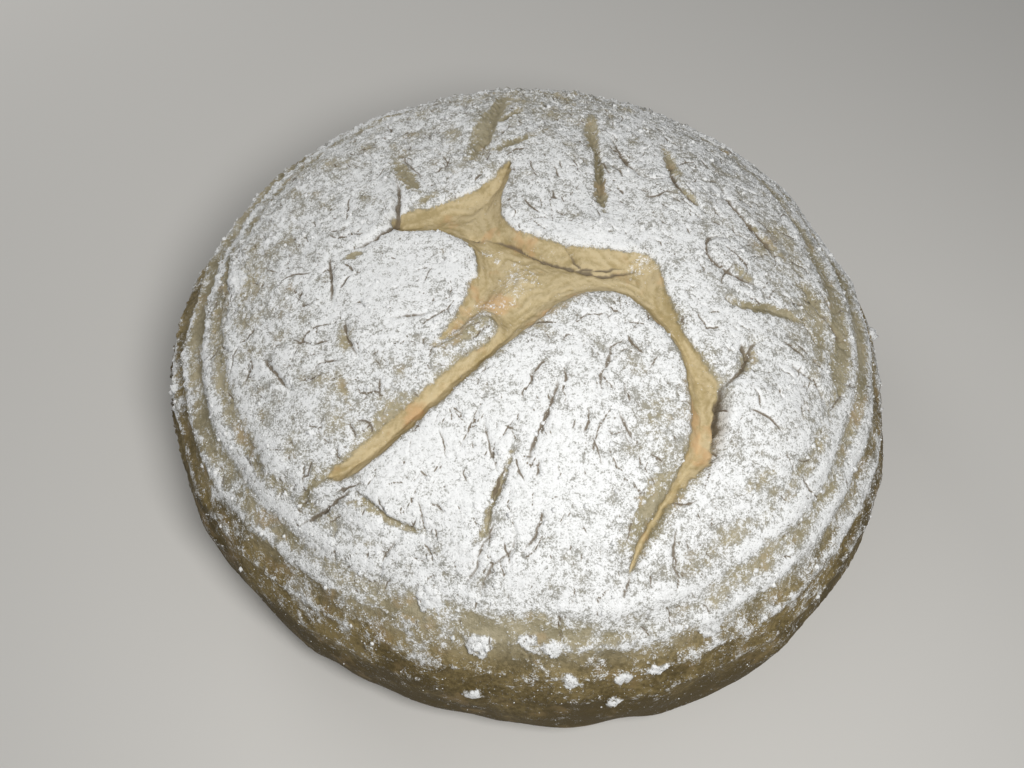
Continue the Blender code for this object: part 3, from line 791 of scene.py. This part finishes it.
def crust_state(u, v, cracks):
    """Relief and the masks that colour the crust at each point of the map."""
    way = np.hypot(u, v)
    bent_u = u + BEND * noise(u, v, 3.5, 400) + FINE_BEND * noise(u, v, 1.4, 401)
    bent_v = v + BEND * noise(u, v, 3.5, 402) + FINE_BEND * noise(u, v, 1.4, 403)
    tear = tear_distance(bent_u, bent_v)
    edge = tear + EDGE_RAGGEDNESS * layered_noise(u, v, *EDGE_ROUGH)
    sliver, sliver_flour = sliver_strength(bent_u, bent_v)
    crest, ring_strength = ring_crest(u, v)
    total = tear_relief(tear) + SLIVER_RISE * sliver + wave_relief(u, v)
    total += RING_RELIEF * ring_strength * (crest - 1.0)
    for swelling in SWELLINGS:
        total += patch_strength(u, v, swelling)
    lifts, grooves, crack_lines_and_shade, opens = all_cracks(bent_u, bent_v)
    lump_height, lump_flour = lump_state(u, v)
    total += lifts - grooves + lump_height
    cover = flour_cover(bent_u, bent_v, tear, crest, ring_strength, opens)
    cover = np.maximum(cover, lump_flour)
    spilt = spilt_flour(bent_u, bent_v, sliver_flour)
    depth, short_crack_lines_and_shade = cracks.depth(u, v)
    inner = ease(edge / COAT_EDGE + 0.5)
    floured = ease(cover * 2.0) * (1.0 - inner)
    crack_lines_and_shade = np.maximum(crack_lines_and_shade, short_crack_lines_and_shade * floured)
    strands_and_low_shade, strand_height = strand_relief(u, v, tear)
    total += strand_height * inner - depth * floured
    total += COAT_THICKNESS * ease((cover * (1.0 - inner) + spilt * inner) * 1.6)
    total += COAT_GRAIN * layered_noise(u, v, *COAT_ROUGH) * (0.3 + 0.7 * cover) * (1 - inner)
    least, most = CLUMP_HEIGHTS
    clump_height = least + (most - least) * ease((v - 0.7 * u - 20.0) / 50.0) * ease(way / 80.0)
    total += clump_height * np.maximum(0.0, layered_noise(u, v, *CLUMPED)) * floured
    dark, low = (ease((way - start) / (end - start)) for start, end in (DARK_SIDE, LOW_SHADE_SPAN))
    # Painted shade: the crust is darkened low on the side through the strand tone
    strands_and_low_shade = strands_and_low_shade * inner - LOW_SHADE_STRENGTH * low
    masks = {"flour": cover, "spilt": spilt, "edge": np.clip(edge, -3.0, 3.0), "line": crack_lines_and_shade,
             "strands_and_low_shade": strands_and_low_shade, "dark": dark}
    return total, masks


def skin_points(u, v, relief):
    """Wrap the map over the body and add the relief, fading it out towards the foot."""
    points = body_point(u, v)
    fade = ease(points[:, 2] / FOOT_FADE)
    points += body_normal(u, v) * (relief * fade)[:, None]
    on_rim = np.hypot(u, v) > RIM - 0.01
    points[:, 2] = np.where(on_rim, 0.0, np.maximum(points[:, 2], LEAST_CLEARANCE))
    return points


def ring_triangles(inner_first, inner_count, outer_first, outer_count):
    """Triangles between a ring of points and the next one out, which may have six more."""
    index = np.arange(outer_count)
    if inner_count < outer_count:
        sector, step = np.divmod(index, outer_count // 6)
        filled = step < outer_count // 6 - 1
    else:
        sector = np.zeros(outer_count, dtype=int)
        filled = np.ones(outer_count, dtype=bool)
    outer = outer_first + index
    outer_next = outer_first + (index + 1) % outer_count
    inner = inner_first + (index - sector) % inner_count
    inner_next = inner_first + (index - sector + 1) % inner_count
    first = np.stack((outer, outer_next, inner), axis=-1)
    second = np.stack((inner, outer_next, inner_next), axis=-1)[filled]
    return np.concatenate((first, second))


def skin_map():
    """Rings of points from the crown to the foot, where each ring starts, and triangles."""
    ways = np.concatenate((
        np.linspace(0.0, CROWN_END, CROWN_RINGS + 1),
        np.linspace(CROWN_END, UPPER_END, UPPER_ROWS + 1)[1:],
        np.linspace(UPPER_END, RIM, LOWER_ROWS + 1)[1:],
    ))
    counts = [max(6 * min(ring, CROWN_RINGS), 1) for ring in range(len(ways))]
    first = np.concatenate(((0,), np.cumsum(counts)))
    points = []
    for way, count in zip(ways, counts):
        angles = 2 * np.pi * np.arange(count) / count
        points.append(np.stack((way * np.cos(angles), way * np.sin(angles)), axis=-1))
    triangles = [ring_triangles(first[ring - 1], counts[ring - 1], first[ring], counts[ring])
                 for ring in range(1, len(ways))]
    return np.concatenate(points), first, triangles


def add_object(name, data):
    """Object in the scene that holds a mesh, a light or a camera."""
    made = bpy.data.objects.new(name, data)
    bpy.context.scene.collection.objects.link(made)
    return made


def mesh_object(name, points, faces, masks=None, normals=None):
    """Mesh piece with one number per point for each named mask."""
    mesh = bpy.data.meshes.new(name)
    mesh.from_pydata((points * MM).tolist(), [], faces)
    mesh.update()
    mesh.shade_smooth()
    for key, values in (masks or {}).items():
        layer = mesh.attributes.new(key, "FLOAT", "POINT")
        layer.data.foreach_set("value", np.ascontiguousarray(values, dtype=np.float32))
    if normals is not None:
        mesh.normals_split_custom_set_from_vertices(normals.tolist())
    return add_object(name, mesh)


def point_normals(points, triangles):
    """Smooth direction at each point, weighted by the area of the triangles around it."""
    first, second, third = (points[triangles[:, k]] for k in range(3))
    across = np.cross(second - first, third - first)
    total = np.zeros(points.shape)
    for corner in range(3):
        for axis in range(3):
            total[:, axis] += np.bincount(triangles[:, corner], across[:, axis], len(points))
    return total / np.maximum(np.linalg.norm(total, axis=1, keepdims=True), 1e-12)


def make_crust(cracks):
    """Crust pieces, shaded as one skin, and the shift that centres the loaf."""
    flat, first, triangles = skin_map()
    relief, masks = crust_state(flat[:, 0], flat[:, 1], cracks)
    points = skin_points(flat[:, 0], flat[:, 1], relief)
    middle = (points.min(axis=0) + points.max(axis=0)) / 2
    shift = np.array((middle[0], middle[1], 0.0))
    points -= shift
    normals = point_normals(points, np.concatenate(triangles))
    pieces = []
    start = 0
    for name, end in PIECES:
        part = slice(first[start], first[end + 1])
        faces = (np.concatenate(triangles[start:end]) - first[start]).tolist()
        if end == PIECES[-1][1]:
            rim = np.arange(first[end], first[end + 1]) - first[start]
            faces.append(rim[::-1].tolist())
        own_masks = {key: values[part] for key, values in masks.items()}
        pieces.append(mesh_object(name, points[part], faces, own_masks, normals[part]))
        start = end
    pieces[-1].data.polygons[-1].use_smooth = False
    return pieces, shift


def scatter(count, size_range, seed, cracks, shape, name, shift, sink):
    """Join many small copies of a shape, strewn where the flour is thick, into one piece."""
    draw = np.random.default_rng(seed)
    shape_points, shape_triangles = shape
    tries = count * 3
    way = SCATTER_END * np.sqrt(draw.uniform(size=tries))
    angle = draw.uniform(0.0, 2 * np.pi, tries)
    u, v = way * np.cos(angle), way * np.sin(angle)
    spread = np.interp(way, WAY, WAY_RADIUS) / np.maximum(way, 1.0)
    relief, masks = crust_state(u, v, cracks)
    strewn = np.where(masks["edge"] > 0.0, masks["spilt"], masks["flour"])
    chance = (STRAY_FLOUR + strewn**2) * np.clip(spread, 0.4, 1.0)
    kept = np.flatnonzero(draw.uniform(size=tries) < chance * 0.8)[:count]
    u, v, relief = u[kept], v[kept], relief[kept]
    normals = body_normal(u, v)
    size = size_range[0] + (size_range[1] - size_range[0]) * draw.uniform(size=len(kept)) ** 2
    places = skin_points(u, v, relief) - shift + normals * (size * sink)[:, None]
    turns = draw.normal(size=(len(kept), 4))
    turns /= np.linalg.norm(turns, axis=1, keepdims=True)
    rotation = np.array([Quaternion(turn).to_matrix() for turn in turns])
    uneven = draw.uniform(0.6, 1.35, (len(kept), len(shape_points), 1))
    bodies = shape_points[None] * uneven * size[:, None, None]
    bodies = np.einsum("nij,nkj->nki", rotation, bodies) + places[:, None]
    bodies[..., 2] = np.maximum(bodies[..., 2], LEAST_CLEARANCE)
    offsets = np.arange(len(kept))[:, None, None] * len(shape_points)
    triangles = (shape_triangles[None] + offsets).reshape(-1, 3)
    return mesh_object(name, bodies.reshape(-1, 3), triangles.tolist())


def octahedron():
    """Angular grain of flour."""
    points = np.array(((1, 0, 0), (-1, 0, 0), (0, 1, 0), (0, -1, 0), (0, 0, 1), (0, 0, -1)), float)
    triangles = [(0, 2, 4), (2, 1, 4), (1, 3, 4), (3, 0, 4)]
    triangles += [(2, 0, 5), (1, 2, 5), (3, 1, 5), (0, 3, 5)]
    return points, np.array(triangles)


def clot():
    """Rough ball of flour, from a ball whose points are pushed in and out."""
    ball = bmesh.new()
    bmesh.ops.create_icosphere(ball, subdivisions=2, radius=1.0)
    points = np.array([vertex.co[:] for vertex in ball.verts])
    triangles = np.array([[vertex.index for vertex in face.verts] for face in ball.faces])
    ball.free()
    push = np.random.default_rng(CLOT_SHAPE_SEED).uniform(0.8, 1.2, (len(points), 1))
    return points * push, triangles


class Web:
    """Shader nodes of one tree, each added and linked in one call."""

    def __init__(self, tree):
        self.nodes = tree.nodes
        self.links = tree.links

    def feed(self, socket, value):
        """Link a socket to the input, or set the input's constant value."""
        if isinstance(value, bpy.types.NodeSocket):
            self.links.new(value, socket)
        else:
            socket.default_value = value

    def add(self, kind, inputs, **settings):
        node = self.nodes.new("ShaderNode" + kind)
        for key, value in settings.items():
            setattr(node, key, value)
        for key, value in inputs.items():
            self.feed(node.inputs[key], value)
        return node

    def maths(self, operation, first, second):
        return self.add("Math", {0: first, 1: second}, operation=operation).outputs[0]

    def plus(self, first, second):
        return self.maths("ADD", first, second)

    def minus(self, first, second):
        return self.maths("SUBTRACT", first, second)

    def times(self, first, second):
        return self.maths("MULTIPLY", first, second)

    def blend(self, share, first, second):
        """Mix of two colours."""
        node = self.add("Mix", {}, data_type="RGBA")
        for label, value in (("Factor", share), ("A", first), ("B", second)):
            self.feed(next(s for s in node.inputs if s.name == label and s.enabled), value)
        return next(s for s in node.outputs if s.enabled)

    def span(self, value, low, high, to_low=0.0, to_high=1.0):
        """Run smoothly between two outputs while the value crosses a span."""
        limits = {"From Min": low, "From Max": high, "To Min": to_low, "To Max": to_high}
        node = self.add("MapRange", {"Value": value, **limits}, interpolation_type="SMOOTHSTEP")
        return node.outputs["Result"]

    def noise(self, place, scale, detail, roughness=0.6, output="Fac"):
        inputs = {"Vector": place, "Scale": scale, "Detail": detail, "Roughness": roughness}
        return self.add("TexNoise", inputs).outputs[output]

    def place(self):
        """Place on the piece itself."""
        return self.add("TexCoord", {}).outputs["Object"]

    def mask(self, name):
        return self.add("Attribute", {}, attribute_name=name).outputs["Fac"]

    def bump(self, height, strength, distance):
        inputs = {"Height": height, "Strength": strength, "Distance": distance}
        return self.add("Bump", inputs).outputs["Normal"]


def new_group(name, inputs, outputs):
    """Empty shader group with named inputs and outputs."""
    group = bpy.data.node_groups.new(name, "ShaderNodeTree")
    for label, value in inputs.items():
        kind = "NodeSocketColor" if isinstance(value, tuple) else "NodeSocketFloat"
        group.interface.new_socket(label, in_out="INPUT", socket_type=kind).default_value = value
    for label in outputs:
        kind = "NodeSocketColor" if label == "Color" else "NodeSocketFloat"
        group.interface.new_socket(label, in_out="OUTPUT", socket_type=kind)
    start = group.nodes.new("NodeGroupInput")
    end = group.nodes.new("NodeGroupOutput")
    return group, Web(group), start.outputs, end.inputs


def crust_mottle_group():
    """Baked crust: patchy tan with streaks and painted shade low down, pinker spots and fine dark
    specks.
    """
    black = (0, 0, 0, 1)
    inputs = {"Pale": (1, 1, 1, 1), "Dark": black, "Blush": black, "Streak_and_low_shade": 0.0}
    group, web, given, result = new_group("crust mottle", inputs, ("Color",))
    place = web.place()
    patches = web.plus(web.times(web.noise(place, PATCH_SCALE, 2.0), 0.55),
                       web.times(web.noise(place, SPOT_SCALE, 4.0, 0.7), 0.45))
    streaked = web.plus(patches, web.times(given["Streak_and_low_shade"], STREAK_AND_LOW_SHADE_SHARE))
    toned = web.blend(web.span(streaked, 0.36, 0.62), given["Dark"], given["Pale"])
    blush = web.span(web.noise(place, BLUSH_SCALE, 3.0), 0.54, 0.70, 0.0, 0.7)
    toned = web.blend(blush, toned, given["Blush"])
    specks = web.span(web.noise(place, SPECK_SCALE, 2.0), 0.70, 0.78, 0.0, 0.65)
    web.feed(result["Color"], web.blend(specks, toned, SPECK_BROWN))
    return group


def hairlines(web, place):
    """Broken network of hairline cracks, 1 on a line."""
    turned = web.add("VectorRotate", {"Vector": place, "Rotation": HAIRLINE_TURN},
                     rotation_type="EULER_XYZ").outputs[0]
    wobble = web.noise(turned, 0.8 * HAIRLINE_SCALE, 3.0, 0.5, "Color")
    warp = web.add("VectorMath", {0: wobble, 1: (1.1 / HAIRLINE_SCALE,) * 3, 2: turned},
                   operation="MULTIPLY_ADD").outputs[0]
    cells = web.add("TexVoronoi", {"Vector": warp, "Scale": HAIRLINE_SCALE},
                    feature="DISTANCE_TO_EDGE")
    reach = HAIRLINE_WIDTH * HAIRLINE_SCALE
    line = web.span(cells.outputs["Distance"], 0.2 * reach, reach, 1.0, 0.0)
    broken = web.span(web.noise(turned, 0.7 * HAIRLINE_SCALE, 2.0), 0.50, 0.58)
    return web.times(line, broken)


def flour_grain_group():
    """Dry flour: its powdery colour, its grain, and where it lies thin."""
    inputs = {"White": (1, 1, 1, 1), "Shade": (0.5, 0.5, 0.5, 1), "Load": 1.0}
    outputs = ("Color", "Height", "Fine", "Thin")
    group, web, given, result = new_group("flour grain", inputs, outputs)
    place = web.place()
    fine = web.noise(place, GRAIN_SCALE, 2.0, 0.7)
    clump = web.noise(place, CLUMP_SCALE, 3.0, 0.7)
    broad = web.noise(place, DRIFT_SCALE, 2.0)
    mixed = web.plus(web.times(fine, 0.5), web.times(clump, 0.5))
    loaded = web.plus(mixed, web.times(given["Load"], LOAD_SHARE))
    web.feed(result["Color"],
             web.blend(web.span(loaded, 0.50, 0.76), given["Shade"], given["White"]))
    uneven = web.minus(1.1, web.plus(fine, clump))
    thin = web.plus(web.times(uneven, SPECKLE), web.times(hairlines(web, place), 0.3))
    drift = web.times(web.minus(broad, 0.5), DRIFT)
    web.feed(result["Height"], mixed)
    web.feed(result["Fine"], fine)
    web.feed(result["Thin"], web.minus(thin, drift))
    return group


def new_material(name):
    material = bpy.data.materials.new(name)
    material.use_nodes = True
    web = Web(material.node_tree)
    shader = web.nodes["Principled BSDF"].inputs
    web.feed(shader["Specular IOR Level"], 0.25)
    return material, web, shader


def crust_material(mottle, grain):
    """Crust with its coat of flour, dark lines of crust brown and painted shade in the cracks,
    painted shade in the pits of thick flour, and the bare tear.
    """
    material, web, shader = new_material("floured crust")
    flour = web.add("Group", {"White": FLOUR_WHITE, "Shade": FLOUR_SHADE}, node_tree=grain)
    edge = web.mask("edge")
    fine = web.minus(flour.outputs["Fine"], 0.5)
    inner = web.span(web.plus(edge, web.times(fine, 1.8)), -0.3, 0.3)
    outer = web.minus(1.0, inner)
    cover = web.plus(web.times(web.mask("spilt"), inner), web.times(web.mask("flour"), outer))
    web.feed(flour.inputs["Load"], cover)
    dark = web.mask("dark")
    tones = {label: web.blend(inner, web.blend(dark, crown, side), torn)
             for label, crown, side, torn in (("Pale", CROWN_PALE, SIDE_PALE, TEAR_PALE),
                                              ("Dark", CROWN_DARK, SIDE_DARK, TEAR_DARK),
                                              ("Blush", CROWN_BLUSH, SIDE_BLUSH, TEAR_BLUSH))}
    # The strand tone also carries painted shade low on the side
    crust = web.add("Group", {**tones, "Streak_and_low_shade": web.mask("strands_and_low_shade")}, node_tree=mottle)
    # Painted shade: pits in thick flour show a grey shaded-flour colour instead of the crust
    crust_or_pit_shade = web.blend(web.span(cover, *PIT_SHADE_COVERS), crust.outputs["Color"], FLOUR_PIT_SHADE)
    share = web.span(web.minus(cover, flour.outputs["Thin"]), *FLOUR_SPAN)
    colour = web.blend(share, crust_or_pit_shade, flour.outputs["Color"])
    # Painted shade: cracks get a dark line, partly the crust's brown and partly shade in their
    # depth
    line = web.span(web.mask("line"), 0.25, 0.75, 0.0, 0.92)
    web.feed(shader["Base Color"], web.blend(line, colour, CRACK_BROWN_AND_SHADE))
    web.feed(shader["Roughness"], web.span(share, 0.0, 1.0, 0.72, 0.95))
    height = web.times(flour.outputs["Height"], web.span(edge, -0.5, 0.5, 1.1, 0.4))
    web.feed(shader["Normal"], web.bump(height, 0.9, 0.0006))
    return material


def flour_material(grain):
    material, web, shader = new_material("loose flour")
    flour = web.add("Group", {"White": FLOUR_WHITE, "Shade": FLOUR_SHADE}, node_tree=grain)
    web.feed(shader["Base Color"], flour.outputs["Color"])
    web.feed(shader["Roughness"], 0.95)
    web.feed(shader["Normal"], web.bump(flour.outputs["Height"], 0.5, 0.0004))
    return material


def make_floor():
    """Pale floor that the loaf stands on."""
    corners = [(FLOOR_HALF * x, FLOOR_HALF * y, FLOOR_DROP) for x, y in
               ((-1, -1), (1, -1), (1, 1), (-1, 1))]
    floor = mesh_object("floor", np.array(corners), [(0, 1, 2, 3)])
    material, web, shader = new_material("pale floor")
    web.feed(shader["Base Color"], FLOOR_COLOUR)
    web.feed(shader["Roughness"], 0.8)
    floor.data.materials.append(material)


def make_light(name, place, size, power, aim):
    light = bpy.data.lights.new(name, "AREA")
    light.shape = "DISK"
    light.size = size
    light.energy = power
    lamp = add_object(name, light)
    lamp.location = place
    lamp.rotation_euler = (Vector(aim) - Vector(place)).to_track_quat("-Z", "Y").to_euler()


def make_studio():
    """Soft light from close beside the camera, a weak fill behind, and a pale surround."""
    for light in LIGHTS:
        make_light(*light)
    world = bpy.data.worlds.new("surround")
    world.use_nodes = True
    background = world.node_tree.nodes["Background"].inputs
    background["Color"].default_value = SURROUND_COLOUR
    background["Strength"].default_value = SURROUND_STRENGTH
    bpy.context.scene.world = world
    bpy.context.scene.view_settings.view_transform = "Standard"


def make_camera(shift):
    """Camera at the picture's angle, which is fitted before the loaf is centred."""
    camera = bpy.data.cameras.new("camera")
    camera.sensor_width = SENSOR_WIDTH
    camera.lens = SENSOR_WIDTH / 2 / np.tan(np.radians(PICTURE_WIDTH_ANGLE / 2))
    camera.clip_start = 0.01
    high = np.radians(CAMERA_HEIGHT_ANGLE)
    away = np.array((0.0, -np.cos(high), np.sin(high))) * CAMERA_DISTANCE
    place = away + (0.0, 0.0, CAMERA_AIM_HEIGHT) - shift
    matrix = Matrix.Translation(Vector(place * MM))
    for degrees, axis in ((90.0 - CAMERA_HEIGHT_ANGLE, "X"), (-CAMERA_YAW, "Y"),
                          (CAMERA_PITCH, "X"), (CAMERA_ROLL, "Z")):
        matrix = matrix @ Matrix.Rotation(np.radians(degrees), 4, axis)
    eye = add_object("camera", camera)
    eye.matrix_world = matrix
    bpy.context.scene.camera = eye


def build():
    """Make the loaf and its loose flour, finish them, and set up the studio."""
    cracks = ShortCracks()
    crust, shift = make_crust(cracks)
    grains = scatter(GRAINS, GRAIN_SIZES, GRAIN_SEED, cracks, octahedron(), "flour_grains",
                     shift, 0.15)
    clots = scatter(CLOTS, CLOT_SIZES, CLOT_SEED, cracks, clot(), "flour_clots", shift, 0.1)
    mottle = crust_mottle_group()
    grain = flour_grain_group()
    crust_finish = crust_material(mottle, grain)
    flour_finish = flour_material(grain)
    for piece in crust:
        piece.data.materials.append(crust_finish)
        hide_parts("loaf")
    for piece in (grains, clots):
        piece.data.materials.append(flour_finish)
    for piece in crust + [grains, clots]:
        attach(piece, "root")
    make_floor()
    make_studio()
    make_camera(shift)


build()
